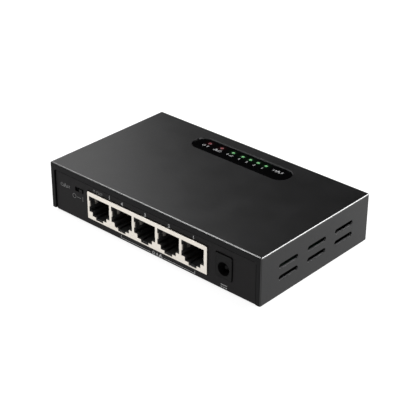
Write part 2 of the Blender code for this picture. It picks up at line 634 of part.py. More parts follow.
def make_screw(name, centre, head, shank_end, look):
    """Round-headed screw. head is (radius, height of its flat side, height of its crown)."""
    radius, flat, crown = head
    edge = flat + 0.55 * (crown - flat)
    profile = [(SHANK_RADIUS, level(shank_end)), (SHANK_RADIUS, level(flat)), (radius, level(flat)),
               (radius, level(edge)), (0.55 * radius, level(crown))]
    if crown < flat:
        profile.reverse()
    turned(name, profile, centre, look, segments=20)


def make_screws(case_look, board_look):
    """Four low-headed screws up through the floor, and four pan-headed screws down through the board."""
    head_top = TRAY_UNDER_Z - CLEARANCE
    for index, centre in enumerate(CASE_SCREWS):
        head = (CASE_SCREW_HEAD_RADIUS, head_top, head_top - CASE_SCREW_HEAD_HEIGHT)
        make_screw(f"case_screw_{index + 1}", centre, head, CASE_SCREW_END_Z, case_look)
    for index, centre in enumerate(BOARD_SCREWS):
        head = (BOARD_SCREW_HEAD_RADIUS, PART_Z, PART_Z + BOARD_SCREW_HEAD_HEIGHT)
        make_screw(f"board_screw_{index + 1}", centre, head, BOARD_SCREW_END_Z, board_look)


def make_feet(look):
    """Stick-on rubber feet with a slight taper towards the ground."""
    taper = 0.35 * MM
    for index, centre in enumerate(FEET):
        profile = [(FOOT_RADIUS - 2 * taper, 0.0), (FOOT_RADIUS - taper, taper),
                   (FOOT_RADIUS, level(TRAY_UNDER_Z) - CLEARANCE)]
        turned(f"rubber_foot_{index + 1}", profile, centre, look)


def make_board_parts():
    """Moulded, wound and canned parts that stand on the circuit board."""
    moulded = finish("moulded_package", (0.02, 0.02, 0.022), 0.5)
    metal = finish("bright_metal", (0.7, 0.7, 0.7), 0.3, 1.0)
    for index, x in enumerate(PORT_CENTRES):
        chip(f"port_magnetics_{index + 1}", (x, MAGNETICS_Y, *MAGNETICS_SIZE), moulded)
    chip("switch_chip", SWITCH_CHIP, moulded)
    chip("power_controller_chip", POWER_CONTROLLER, moulded)
    chip("power_inductor", POWER_INDUCTOR, finish("ferrite", (0.09, 0.09, 0.095), 0.6), rounding=1.2 * MM)
    chip("power_diode", POWER_DIODE, moulded)
    chip("input_fuse", FUSE, finish("ceramic", (0.75, 0.73, 0.66), 0.4))
    chip("crystal_can", CRYSTAL, metal, rounding=0.6 * MM)
    can = finish("capacitor_sleeve", (0.05, 0.05, 0.12), 0.35)
    for index, place_and_size in enumerate(CAPACITORS):
        make_capacitor(f"capacitor_{index + 1}", place_and_size, can)


def main():
    clear_scene()
    black_steel = finish("black_painted_steel", (0.012, 0.012, 0.013), 0.42)
    black_plastic = finish("black_plastic", (0.012, 0.012, 0.012), 0.45)
    bright_steel = finish("bright_steel", (0.62, 0.62, 0.6), 0.32, 1.0)
    gold = finish("gold_plating", (0.83, 0.6, 0.24), 0.25, 1.0)
    make_cover(black_steel)
    make_chassis(black_steel)
    make_window(finish("gloss_black", (0.003, 0.003, 0.003), 0.1))
    make_light_pipe(finish("clear_plastic", (0.85, 0.88, 0.86), 0.12))
    make_lights(finish("red_led", (0.6, 0.02, 0.03), 0.3), finish("green_led", (0.05, 0.5, 0.1), 0.3))
    make_board(finish("green_board", (0.01, 0.1, 0.04), 0.4))
    make_shield(finish("nickel_shield", (0.78, 0.75, 0.7), 0.3, 1.0))
    make_housing(black_plastic)
    make_contacts(gold)
    make_slide_switch(bright_steel, finish("brown_base", (0.06, 0.03, 0.02), 0.5), black_plastic)
    make_power_inlet(black_plastic, bright_steel)
    aluminium = finish("aluminium", (0.55, 0.56, 0.58), 0.4, 1.0)
    make_heat_sink(finish("grey_pad", (0.35, 0.37, 0.42), 0.8), aluminium)
    make_board_parts()
    make_screws(finish("black_screw", (0.03, 0.03, 0.03), 0.35, 1.0), bright_steel)
    make_feet(finish("black_rubber", (0.01, 0.01, 0.01), 0.85))


main()
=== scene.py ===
"""Looks of the desktop network switch: materials, printed marks, lights in the window, and a studio."""

import json
import math

import bmesh
import bpy
from mathutils import Matrix, Vector


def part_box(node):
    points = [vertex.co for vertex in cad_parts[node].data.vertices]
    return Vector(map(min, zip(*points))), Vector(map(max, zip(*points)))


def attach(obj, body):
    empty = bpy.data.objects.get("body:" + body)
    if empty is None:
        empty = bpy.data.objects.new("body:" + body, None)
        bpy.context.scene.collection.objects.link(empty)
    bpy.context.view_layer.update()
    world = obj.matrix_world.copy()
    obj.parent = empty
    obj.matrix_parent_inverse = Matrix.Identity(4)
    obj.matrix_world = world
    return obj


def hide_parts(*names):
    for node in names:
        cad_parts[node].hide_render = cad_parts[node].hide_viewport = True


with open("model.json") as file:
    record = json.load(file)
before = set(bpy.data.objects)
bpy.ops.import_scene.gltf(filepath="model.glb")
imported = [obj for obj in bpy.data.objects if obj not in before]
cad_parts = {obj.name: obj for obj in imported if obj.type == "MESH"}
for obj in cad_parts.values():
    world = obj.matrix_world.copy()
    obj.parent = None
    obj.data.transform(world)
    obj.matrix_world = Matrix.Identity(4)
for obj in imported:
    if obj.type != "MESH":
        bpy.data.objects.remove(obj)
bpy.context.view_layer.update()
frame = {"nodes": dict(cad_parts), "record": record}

MM = 0.001
CASE = "case"
PORTS = 5
LIGHTS = 7
WELD_DISTANCE = 0.001 * MM
FLAT_ANGLE = math.radians(0.6)


# ---------------------------------------------------------------- mesh helpers

def new_piece(name, bm, look, body, smooth_angle=40):
    """Makes a mesh piece in the row frame that rides on a body and wears one material."""
    bmesh.ops.recalc_face_normals(bm, faces=bm.faces)
    mesh = bpy.data.meshes.new(name)
    bm.to_mesh(mesh)
    bm.free()
    mesh.materials.append(look)
    mesh.shade_smooth()
    mesh.set_sharp_from_angle(angle=math.radians(smooth_angle))
    piece = bpy.data.objects.new(name, mesh)
    bpy.context.scene.collection.objects.link(piece)
    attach(piece, body)
    return piece


def node_mesh(node):
    """A clean copy of a node's mesh: shared corners welded and flat triangles joined."""
    bm = bmesh.new()
    bm.from_mesh(frame["nodes"][node].data)
    bmesh.ops.remove_doubles(bm, verts=bm.verts, dist=WELD_DISTANCE)
    bmesh.ops.dissolve_limit(bm, angle_limit=FLAT_ANGLE, verts=bm.verts, edges=bm.edges)
    return bm


def node_body(node):
    """Body that a node moves with."""
    return next(body for body, nodes in frame["record"]["behaviour"]["bodies"].items() if node in nodes)


def middle(node):
    """Centre of a node's box seen from above."""
    low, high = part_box(node)
    return (low.x + high.x) / 2, (low.y + high.y) / 2


def refine(node, look, edge=0.12 * MM, segments=2, cutter=None, angle=40):
    """Stands in for a node with the same shape and broken edges. A cutter is taken out of it first."""
    bm = node_mesh(node)
    for layer in list(bm.loops.layers.uv):
        bm.loops.layers.uv.remove(layer)
    piece = new_piece(f"{node}_finished", bm, look, node_body(node), angle)
    stale = piece.data.attributes.get("custom_normal")
    if stale:
        piece.data.attributes.remove(stale)
    if cutter:
        step = piece.modifiers.new("recess", "BOOLEAN")
        step.operation = "DIFFERENCE"
        step.solver = "EXACT"
        step.object = cutter
    if edge:
        step = piece.modifiers.new("broken_edges", "BEVEL")
        step.width = edge
        step.segments = segments
        step.limit_method = "ANGLE"
        step.angle_limit = math.radians(angle)
        step.miter_outer = "MITER_ARC"
    step = piece.modifiers.new("flat_faces", "WEIGHTED_NORMAL")
    step.weight = 100
    step.keep_sharp = True
    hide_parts(node)
    return piece


def bake_modifiers(piece):
    """Turns what the modifiers make into the piece's own mesh."""
    graph = bpy.context.evaluated_depsgraph_get()
    made = bpy.data.meshes.new_from_object(piece.evaluated_get(graph), depsgraph=graph)
    piece.modifiers.clear()
    piece.data = made
    return piece


# ---------------------------------------------------------------- materials

class Nodes:
    """A Principled material whose inputs are fed by procedural nodes in the row frame's metres."""

    def __init__(self, name, colour, roughness, metallic=0.0, specular=0.5):
        self.material = bpy.data.materials.new(name)
        self.material.use_nodes = True
        self.tree = self.material.node_tree
        self.shader = self.tree.nodes["Principled BSDF"]
        self.set("Base Color", (*colour, 1.0))
        self.set("Roughness", roughness)
        self.set("Metallic", metallic)
        self.set("Specular IOR Level", specular)
        self.place = self.tree.nodes.new("ShaderNodeTexCoord").outputs["Object"]

    def set(self, name, value):
        self.shader.inputs[name].default_value = value

    def feed(self, name, output):
        self.tree.links.new(output, self.shader.inputs[name])

    def add(self, kind, **values):
        node = self.tree.nodes.new(kind)
        for name, value in values.items():
            setattr(node, name, value)
        return node

    def noise(self, size, detail=3.0, roughness=0.5, stretch=(1, 1, 1)):
        """Noise with features about size metres across, longer where stretch is above 1."""
        mapping = self.add("ShaderNodeMapping")
        mapping.inputs["Scale"].default_value = [1 / value for value in stretch]
        self.tree.links.new(self.place, mapping.inputs["Vector"])
        node = self.add("ShaderNodeTexNoise")
        node.inputs["Scale"].default_value = 1 / size
        node.inputs["Detail"].default_value = detail
        node.inputs["Roughness"].default_value = roughness
        self.tree.links.new(mapping.outputs["Vector"], node.inputs["Vector"])
        return node.outputs["Fac"]

    def ramp(self, source, low, high, start=0.35, end=0.65):
        """Maps source between start and end onto the numbers low to high."""
        node = self.add("ShaderNodeMapRange")
        node.inputs["From Min"].default_value = start
        node.inputs["From Max"].default_value = end
        node.inputs["To Min"].default_value = low
        node.inputs["To Max"].default_value = high
        self.tree.links.new(source, node.inputs["Value"])
        return node.outputs["Result"]

    def mix(self, factor, first, second):
        """Colour between first and second; each is a colour or another node's output."""
        node = self.add("ShaderNodeMix", data_type="RGBA")
        self.tree.links.new(factor, node.inputs[0])
        for socket, value in ((node.inputs[6], first), (node.inputs[7], second)):
            if isinstance(value, tuple):
                socket.default_value = (*value, 1.0)
            else:
                self.tree.links.new(value, socket)
        return node.outputs[2]

    def math(self, operation, first, second=0.0):
        node = self.add("ShaderNodeMath", operation=operation)
        for socket, value in zip(node.inputs, (first, second)):
            if isinstance(value, (int, float)):
                socket.default_value = value
            else:
                self.tree.links.new(value, socket)
        return node.outputs[0]

    def axis(self, index):
        """One coordinate of the point in the row frame."""
        if not hasattr(self, "split"):
            self.split = self.add("ShaderNodeSeparateXYZ")
            self.tree.links.new(self.place, self.split.inputs[0])
        return self.split.outputs[index]

    def bump(self, height, depth, strength=1.0):
        """Raises the surface by depth metres where height is 1."""
        node = self.add("ShaderNodeBump")
        node.inputs["Strength"].default_value = strength
        node.inputs["Distance"].default_value = depth
        self.tree.links.new(height, node.inputs["Height"])
        if self.shader.inputs["Normal"].is_linked:
            self.tree.links.new(self.shader.inputs["Normal"].links[0].from_socket, node.inputs["Normal"])
        self.feed("Normal", node.outputs["Normal"])


def powder_coat(name, colour, roughness, specular, coat=0.0):
    """Fine satin powder coat: small even orange peel, slight cloudiness and a few lighter specks."""
    look = Nodes(name, colour, roughness, specular=specular)
    look.set("Coat Weight", coat)
    look.set("Coat Roughness", 0.12)
    grain = look.noise(0.35 * MM, detail=2.0)
    cloud = look.noise(14 * MM, detail=3.0)
    speck = look.ramp(look.noise(0.5 * MM, detail=1.0), 0.0, 1.0, 0.7, 0.78)
    lighter = tuple(min(1.0, 2.2 * value + 0.004) for value in colour)
    deeper = tuple(0.8 * value for value in colour)
    base = look.mix(look.ramp(cloud, 0.0, 1.0), deeper, colour)
    look.feed("Base Color", look.mix(speck, base, lighter))
    uneven = look.ramp(cloud, -0.02, 0.02)
    look.feed("Roughness", look.math("ADD", uneven, look.ramp(grain, roughness - 0.03, roughness + 0.03)))
    look.bump(grain, 0.006 * MM, 0.5)
    return look.material


def moulded_plastic(name, colour, roughness, grain=0.25 * MM, specular=0.4):
    """Moulded plastic with a spark-eroded texture."""
    look = Nodes(name, colour, roughness, specular=specular)
    fine = look.noise(grain, detail=2.0)
    lighter = tuple(1.5 * value + 0.002 for value in colour)
    look.feed("Base Color", look.mix(look.ramp(look.noise(5 * MM), 0.0, 1.0), colour, lighter))
    look.feed("Roughness", look.ramp(fine, roughness - 0.06, roughness + 0.06))
    look.bump(fine, 0.008 * MM, 0.6)
    return look.material


def plated_sheet(name, colour, roughness, stretch, shade=0.86):
    """Plated sheet metal with a fine rolled grain along one direction."""
    look = Nodes(name, colour, roughness, metallic=1.0)
    rolled = look.noise(0.12 * MM, detail=3.0, stretch=stretch)
    patch = look.noise(6 * MM)
    darker = tuple(shade * value for value in colour)
    look.feed("Base Color", look.mix(look.ramp(patch, 0.0, 1.0), darker, colour))
    look.feed("Roughness", look.ramp(rolled, roughness - 0.07, roughness + 0.07))
    look.bump(rolled, 0.003 * MM, 0.5)
    return look.material


def gloss_window(name, lights):
    """Polished black plastic with faint swirl scratches, and light from each indicator spreading in it."""
    look = Nodes(name, (0.0016, 0.0016, 0.0018), 0.08, specular=0.5)
    haze = look.noise(9 * MM, detail=4.0)
    scratch = look.noise(0.2 * MM, detail=2.0, stretch=(14, 1, 1))
    hazy = look.ramp(haze, 0.05, 0.11)
    look.feed("Roughness", look.math("ADD", hazy, look.ramp(scratch, 0.0, 0.05, 0.6, 0.75)))
    total = None
    for x, y, colour, strength, reach in lights:
        dx = look.math("SUBTRACT", look.axis(0), x)
        dy = look.math("SUBTRACT", look.axis(1), y)
        square = look.math("ADD", look.math("MULTIPLY", dx, dx), look.math("MULTIPLY", dy, dy))
        fall = look.math("DIVIDE", square, -reach * reach)
        glow = look.math("MULTIPLY", look.math("EXPONENT", fall), strength)
        tint = look.add("ShaderNodeVectorMath", operation="SCALE")
        tint.inputs[0].default_value = colour
        look.tree.links.new(glow, tint.inputs["Scale"])
        if total is None:
            total = tint.outputs[0]
            continue
        together = look.add("ShaderNodeVectorMath", operation="ADD")
        look.tree.links.new(total, together.inputs[0])
        look.tree.links.new(tint.outputs[0], together.inputs[1])
        total = together.outputs[0]
    look.feed("Emission Color", total)
    look.set("Emission Strength", 1.0)
    return look.material


def glowing(name, core, rim, centre, radius, strength):
    """Light at the tip of the light pipe: pale in the middle, deeper in colour towards its rim."""
    look = Nodes(name, rim, 0.3)
    dx = look.math("SUBTRACT", look.axis(0), centre[0])
    dy = look.math("SUBTRACT", look.axis(1), centre[1])
    square = look.math("ADD", look.math("MULTIPLY", dx, dx), look.math("MULTIPLY", dy, dy))
    away = look.ramp(look.math("SQRT", square), 0.0, 1.0, 0.1 * radius, radius)
    mottled = look.math("ADD", away, look.ramp(look.noise(0.3 * MM), -0.08, 0.08))
    look.feed("Emission Color", look.mix(mottled, core, rim))
    look.set("Emission Strength", strength)
    return look.material


def print_ink(name, colour):
    """Screen-printed ink, slightly uneven in cover."""
    look = Nodes(name, colour, 0.55)
    thin = look.ramp(look.noise(0.25 * MM, detail=2.0), 0.0, 1.0, 0.3, 0.7)
    look.feed("Base Color", look.mix(thin, tuple(0.7 * value for value in colour), colour))
    look.bump(thin, 0.004 * MM, 0.4)
    return look.material


def rubber(name):
    look = Nodes(name, (0.012, 0.012, 0.012), 0.85, specular=0.3)
    dust = look.ramp(look.noise(0.8 * MM, detail=4.0), 0.0, 1.0, 0.45, 0.75)
    look.feed("Base Color", look.mix(dust, (0.012, 0.012, 0.012), (0.035, 0.034, 0.033)))
    look.bump(look.noise(0.15 * MM), 0.02 * MM, 0.6)
    return look.material


def board_mask(name):
    """Green solder mask over a mesh of copper tracks."""
    look = Nodes(name, (0.0014, 0.008, 0.0045), 0.3)
    tracks = look.add("ShaderNodeTexBrick", offset=0.5, squash=1.6, squash_frequency=3)
    tracks.inputs["Scale"].default_value = 1 / (4.2 * MM)
    tracks.inputs["Mortar Size"].default_value = 0.035
    look.tree.links.new(look.place, tracks.inputs["Vector"])
    look.feed("Base Color", look.mix(tracks.outputs["Fac"], (0.0014, 0.008, 0.0045), (0.004, 0.022, 0.01)))
    look.bump(tracks.outputs["Fac"], 0.03 * MM, 0.5)
    return look.material


def gold_wires(name, plate_height):
    """Gold-plated wires below a black insert."""
    look = Nodes(name, (0.8, 0.56, 0.2), 0.24)
    wire = look.ramp(look.axis(2), 1.0, 0.0, plate_height - 0.02 * MM, plate_height)
    look.feed("Base Color", look.mix(wire, (0.012, 0.012, 0.012), (0.83, 0.58, 0.22)))
    look.feed("Metallic", wire)
    look.feed("Roughness", look.ramp(look.noise(0.4 * MM), 0.18, 0.32))
    return look.material


def clear_moulding(name):
    look = Nodes(name, (0.75, 0.8, 0.77), 0.12)
    look.set("Transmission Weight", 0.6)
    look.feed("Roughness", look.ramp(look.noise(1.5 * MM), 0.08, 0.2))
    return look.material


# ---------------------------------------------------------------- flat marks

def ribbon(points, width, closed=False):
    """Outline of a line of even width with mitred corners, as quads between neighbouring points."""
    count = len(points)
    sides = []
    for index, point in enumerate(points):
        before = points[index - 1] if closed or index else None
        after = points[(index + 1) % count] if closed or index < count - 1 else None
        arms = []
        for start, end in ((before, point), (point, after)):
            if start is not None and end is not None:
                arms.append((Vector(end) - Vector(start)).normalized())
        along = sum(arms, Vector((0.0, 0.0))).normalized()
        across = Vector((-along.y, along.x))
        stretch = 1.0 / max(0.4, across.dot(Vector((-arms[0].y, arms[0].x))))
        offset = across * width / 2 * stretch
        sides.append((Vector(point) + offset, Vector(point) - offset))
    last = count if closed else count - 1
    pairs = [(sides[index], sides[(index + 1) % count]) for index in range(last)]
    return [(here[0], here[1], there[1], there[0]) for here, there in pairs]


def arc(centre, radius, start, end, steps=14):
    return [(centre[0] + radius * math.cos(math.radians(start + (end - start) * step / steps)),
             centre[1] + radius * math.sin(math.radians(start + (end - start) * step / steps)))
            for step in range(steps + 1)]


def ring(centre, radius, width):
    return ribbon(arc(centre, radius, 0, 360, 20)[:-1], width, closed=True)


def square(centre, side, width):
    half = side / 2
    turns = ((-1, -1), (1, -1), (1, 1), (-1, 1))
    return ribbon([(centre[0] + u * half, centre[1] + v * half) for u, v in turns], width, closed=True)


def power_icon(size, width):
    broken_ring = ribbon(arc((0, 0), 0.45 * size, 125, 415), width)
    return broken_ring + ribbon([(0, 0.05 * size), (0, 0.6 * size)], width)


def group_icon(size, width):
    """Three joined boxes: a divided network."""
    box = 0.36 * size
    return (square((0, 0.32 * size), box, width) + square((-0.42 * size, -0.3 * size), box, width)
            + square((0.42 * size, -0.3 * size), box, width)
            + ribbon([(-0.42 * size, -0.12 * size), (-0.42 * size, 0.0), (0.42 * size, 0.0),
                      (0.42 * size, -0.12 * size)], width))


def up_arrow_icon(size, width):
    return (ribbon([(0, -0.5 * size), (0, 0.42 * size)], width)
            + ribbon([(-0.32 * size, 0.1 * size), (0, 0.48 * size), (0.32 * size, 0.1 * size)], width))


def exchange_icon(size, width):
    """Two opposite arrows: data passing."""
    marks = []
    for side in (-1, 1):
        height = side * 0.22 * size
        marks += ribbon([(-side * 0.55 * size, height), (side * 0.5 * size, height)], width)
        marks += ribbon([(side * 0.28 * size, height + 0.2 * size), (side * 0.55 * size, height),
                         (side * 0.28 * size, height - 0.2 * size)], width)
    return marks


def bolt_icon(size, width):
    return ribbon([(0.2 * size, 0.5 * size), (-0.2 * size, 0.02 * size), (0.2 * size, -0.02 * size),
                   (-0.2 * size, -0.5 * size)], 1.2 * width)


def direct_current_icon(size, width):
    """A full line over a broken one."""
    marks = ribbon([(-0.6 * size, 0.18 * size), (0.6 * size, 0.18 * size)], width)
    for part in (-0.44, 0.0, 0.44):
        marks += ribbon([((part - 0.15) * size, -0.18 * size), ((part + 0.15) * size, -0.18 * size)], width)
    return marks


def on_off_icon(size, width):
    """The ring and bar of an off and an on position, with a line between them."""
    return (ring((-0.95 * size, 0), 0.36 * size, width) + ribbon([(-0.35 * size, 0), (0.55 * size, 0)], width)
            + ribbon([(0.95 * size, -0.42 * size), (0.95 * size, 0.42 * size)], width))


def square_icon(size, width):
    return square((0, 0), 0.8 * size, width)


def moved(marks, u, v):
    return [tuple((point[0] + u, point[1] + v) for point in face) for face in marks]


def digit_faces(text, size, u, v):
    """Triangles of one digit centred on (u, v)."""
    curve = bpy.data.curves.new("digit", "FONT")
    curve.body = text
    curve.size = size
    curve.align_x = "CENTER"
    curve.align_y = "CENTER"
    curve.resolution_u = 4
    curve.offset = DIGIT_BOLDNESS
    holder = bpy.data.objects.new("digit", curve)
    bpy.context.scene.collection.objects.link(holder)
    graph = bpy.context.evaluated_depsgraph_get()
    mesh = bpy.data.meshes.new_from_object(holder.evaluated_get(graph), depsgraph=graph)
    faces = [tuple((mesh.vertices[index].co.x + u, mesh.vertices[index].co.y + v) for index in face.vertices)
             for face in mesh.polygons]
    bpy.data.objects.remove(holder)
    bpy.data.meshes.remove(mesh)
    bpy.data.curves.remove(curve)
    return faces


INK_HEIGHT = 0.02 * MM
INK_LINE = 0.23 * MM
DIGIT_BOLDNESS = 0.05 * MM
MARK_WELD = 0.002 * MM


def print_marks(name, marks, to_frame, look):
    """Lays flat marks on a surface. to_frame turns (u, v, height above the surface) into the row frame."""
    bm = bmesh.new()
    for face in marks:
        bm.faces.new([bm.verts.new(to_frame(point[0], point[1], INK_HEIGHT)) for point in face])
    bmesh.ops.remove_doubles(bm, verts=bm.verts, dist=MARK_WELD)
    return new_piece(name, bm, look, CASE)


# ---------------------------------------------------------------- places taken from the frame

cover_low, cover_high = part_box("top_cover")
chassis_low, chassis_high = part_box("bottom_chassis")
window_low, window_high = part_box("indicator_window")
shield_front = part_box("port_shield")[0].y
pipe_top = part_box("light_pipe")[1].z
jack_x = middle("power_jack_body")[0]
port_centres = [middle(f"port_contacts_{index}")[0] for index in range(1, PORTS + 1)]
leds = [middle(f"indicator_led_{index}") for index in range(1, LIGHTS + 1)]
BASE = cover_low.z
PANEL_Y = chassis_low.y

RED = (0.55, 0.03, 0.05)
GREEN = (0.05, 0.5, 0.1)
led_colours = [RED] * 2 + [GREEN] * 5

# ---------------------------------------------------------------- finishes

# One real powder coat covers the case; the copies after the first are painted light. The lip, side and
# chassis-panel copies carry painted shade: less specular, and for the lip and sides a darker colour. The bend
# and cut-face copies carry painted highlight: a lighter colour, and on the bends a glossy coat.
cover_paint = powder_coat("cover_paint", (0.0055, 0.0055, 0.006), 0.36, 0.46)
lip_painted_shade = powder_coat("lip_painted_shade", (0.005, 0.005, 0.0054), 0.4, 0.08)
bend_painted_highlight = powder_coat("bend_painted_highlight", (0.012, 0.012, 0.0125), 0.34, 1.0, coat=1.0)
panel_painted_shade = powder_coat("panel_painted_shade", (0.0072, 0.0065, 0.007), 0.5, 0.1)
side_painted_shade = powder_coat("side_painted_shade", (0.0035, 0.0035, 0.004), 0.36, 0.28)
cut_painted_highlight = powder_coat("cut_painted_highlight", (0.2, 0.2, 0.205), 0.35, 1.0)
black_nylon = moulded_plastic("black_nylon", (0.018, 0.018, 0.018), 0.5)
jack_plastic = moulded_plastic("jack_plastic", (0.0045, 0.0045, 0.0045), 0.5, specular=0.08)
knob_plastic = moulded_plastic("knob_plastic", (0.0045, 0.0045, 0.0047), 0.5, specular=0.08)
epoxy = moulded_plastic("epoxy_package", (0.014, 0.014, 0.016), 0.55)
ferrite = moulded_plastic("ferrite", (0.035, 0.035, 0.037), 0.6, 0.4 * MM)
ceramic = moulded_plastic("ceramic_body", (0.6, 0.57, 0.5), 0.35)
sleeve = moulded_plastic("can_sleeve", (0.012, 0.014, 0.05), 0.3)
phenolic = moulded_plastic("phenolic", (0.045, 0.018, 0.01), 0.45)
pad_rubber = moulded_plastic("soft_pad", (0.2, 0.23, 0.3), 0.7)
nickel = plated_sheet("nickel_plate", (0.76, 0.715, 0.65), 0.34, (9, 9, 1), shade=0.95)
steel = plated_sheet("bright_steel", (0.62, 0.62, 0.61), 0.28, (6, 1, 1))
sink_metal = plated_sheet("sink_aluminium", (0.6, 0.61, 0.63), 0.38, (1, 12, 1))
black_zinc = plated_sheet("black_zinc", (0.05, 0.05, 0.054), 0.34, (1, 1, 1))
# Painted shade: the jack's centre pin gets a near-black finish like the shaded inside of its bore, not the
# look of bright plated metal.
pin_painted_shade = plated_sheet("pin_painted_shade", (0.012, 0.012, 0.012), 0.55, (1, 1, 1))
foot_rubber = rubber("foot_rubber")
halos = [(x, y, colour, 0.03, 1.5 * MM) for (x, y), colour in zip(leds, led_colours)]
window_gloss = gloss_window("window_gloss", halos)
front_ink = print_ink("front_ink", (0.5, 0.5, 0.5))
faint_ink = print_ink("faint_ink", (0.15, 0.15, 0.15))
window_ink = print_ink("window_ink", (0.55, 0.55, 0.56))

# ---------------------------------------------------------------- shells and connectors

BEND_HEIGHT = 0.75 * MM
BENDS_FROM = 35 * MM
SLOTS_REACH = 30 * MM
SIDE_SHEET = 0.9 * MM
SIDE_SKIN = 0.05 * MM
TOP_PAINT, LIP, BEND, SIDE, CUT = range(5)


def cover_paint_and_light_copies(normal, centre):
    """Which paint one face of the cover wears: the plain paint on the top, copies with painted shade on the
    lip and sides, and copies with painted highlight on the bends, the slots' cut faces and the window's back
    wall. The bends lie further out than BENDS_FROM, the window further in.
    """
    across, along = abs(centre.x), abs(centre.y)
    near_top = centre.z > cover_high.z - BEND_HEIGHT
    if abs(normal.y) > 0.9 and along > window_high.y:
        return LIP
    if 0.1 < normal.z < 0.99 and near_top and max(across, along) > BENDS_FROM:
        return BEND
    if abs(normal.x) > 0.9 and across > cover_high.x - SIDE_SKIN:
        return SIDE
    if across > cover_high.x - SIDE_SHEET and normal.z > 0.3 and along < SLOTS_REACH:
        return CUT
    if window_low.y < centre.y < window_high.y and normal.y < -0.3 and near_top:
        return CUT
    return TOP_PAINT


cover = refine("top_cover", cover_paint, edge=0.1 * MM)
# The lip and side faces get the copies with painted shade, the bends and cut faces the copies with painted
# highlight.
for look in (lip_painted_shade, bend_painted_highlight, side_painted_shade, cut_painted_highlight):
    cover.data.materials.append(look)
for face in cover.data.polygons:
    face.material_index = cover_paint_and_light_copies(face.normal, cover.matrix_world @ face.center)
# The chassis wears the copy of the paint with painted shade.
refine("bottom_chassis", panel_painted_shade, edge=0.1 * MM)
refine("indicator_window", window_gloss, edge=0.08 * MM)
refine("port_shield", nickel, edge=0.05 * MM)
refine("port_housing", black_nylon, edge=0.1 * MM)
refine("power_jack_body", jack_plastic, edge=0.15 * MM)
refine("switch_knob", knob_plastic, edge=0.12 * MM)
refine("switch_frame", black_zinc, edge=0.1 * MM)
# The centre pin wears the near-black finish with painted shade.
refine("power_jack_pin", pin_painted_shade, edge=0.3 * MM, segments=3)

INSERT_UNDERSIDE = 13.45 * MM
LED_CHIP_RADIUS = 1 * MM
LED_CHIP_STRENGTH = 1.5
CARRIED = {
    "light_pipe": clear_moulding("clear_moulding"), "circuit_board": board_mask("board_laminate"),
    "switch_base": phenolic, "power_jack_spring": steel, "switch_chip": epoxy, "power_controller_chip": epoxy,
    "power_diode": epoxy, "thermal_pad": pad_rubber, "heat_sink": sink_metal, "power_inductor": ferrite,
    "input_fuse": ceramic, "crystal_can": steel,
}
for index in range(1, PORTS + 1):
    CARRIED[f"port_magnetics_{index}"] = epoxy
    CARRIED[f"port_contacts_{index}"] = gold_wires(f"gold_wires_{index}", BASE + INSERT_UNDERSIDE)
for index in range(1, 4):
    CARRIED[f"capacitor_{index}"] = sleeve
for index, (place, colour) in enumerate(zip(leds, led_colours), 1):
    chip_look = glowing(f"led_chip_{index}", colour, colour, place, LED_CHIP_RADIUS, LED_CHIP_STRENGTH)
    CARRIED[f"indicator_led_{index}"] = chip_look
for node, look in CARRIED.items():
    mesh = frame["nodes"][node].data
    mesh.materials.clear()
    mesh.materials.append(look)


RECESS_ARM = 1.45 * MM
RECESS_HALF_WIDTH = 0.28 * MM
RECESS_DEPTH = 0.7 * MM
RECESS_OVERSHOOT = 0.3 * MM
RECESS_TAPER = 0.55


def cross_recess(node, mouth, down):
    """Cutter for the cross recess in a screw head. mouth is the height of the head's outer face."""
    x, y = middle(node)
    arm, half = RECESS_ARM, RECESS_HALF_WIDTH
    outline = [(arm, -half), (arm, half), (half, half), (half, arm), (-half, arm), (-half, half),
               (-arm, half), (-arm, -half), (-half, -half), (-half, -arm), (half, -arm), (half, -half)]
    bm = bmesh.new()
    side = -1 if down else 1
    levels = ((mouth + side * RECESS_OVERSHOOT, 1.0), (mouth - side * RECESS_DEPTH, RECESS_TAPER))
    rings = [[bm.verts.new((x + u * scale, y + v * scale, z)) for u, v in outline] for z, scale in levels]
    for end in rings:
        bm.faces.new(end)
    for index in range(len(outline)):
        after = (index + 1) % len(outline)
        bm.faces.new((rings[0][index], rings[0][after], rings[1][after], rings[1][index]))
    bmesh.ops.recalc_face_normals(bm, faces=bm.faces)
    mesh = bpy.data.meshes.new(f"{node}_recess")
    bm.to_mesh(mesh)
    bm.free()
    cutter = bpy.data.objects.new(f"{node}_recess", mesh)
    bpy.context.scene.collection.objects.link(cutter)
    return cutter


for index in range(1, 5):
    for kind, look, down in (("case_screw", black_zinc, True), ("board_screw", steel, False)):
        node = f"{kind}_{index}"
        low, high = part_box(node)
        cutter = cross_recess(node, low.z if down else high.z, down)
        bake_modifiers(refine(node, look, edge=0.1 * MM, cutter=cutter))
        bpy.data.objects.remove(cutter)
    refine(f"rubber_foot_{index}", foot_rubber, edge=0.2 * MM, segments=3)


# ---------------------------------------------------------------- spring fingers of the shield

OPENING_HALF_WIDTH = 6.45 * MM
FINGER_THICKNESS = 0.16 * MM
FINGER_LOW, FINGER_HIGH = 9.1 * MM, 11.9 * MM
FINGER_TIP_TAPER = 0.5 * MM
# Bends of the strip: millimetres into the opening, and behind the shield's front.
FINGER_FOLD = ((0.0, 0.1), (0.2, 0.05), (0.4, 0.35), (0.45, 0.9), (0.3, 2.2), (0.3, 3.1))
FINGER_SPRING = ((1.05, 3.9), (0.9, 5.0), (0.4, 6.2))


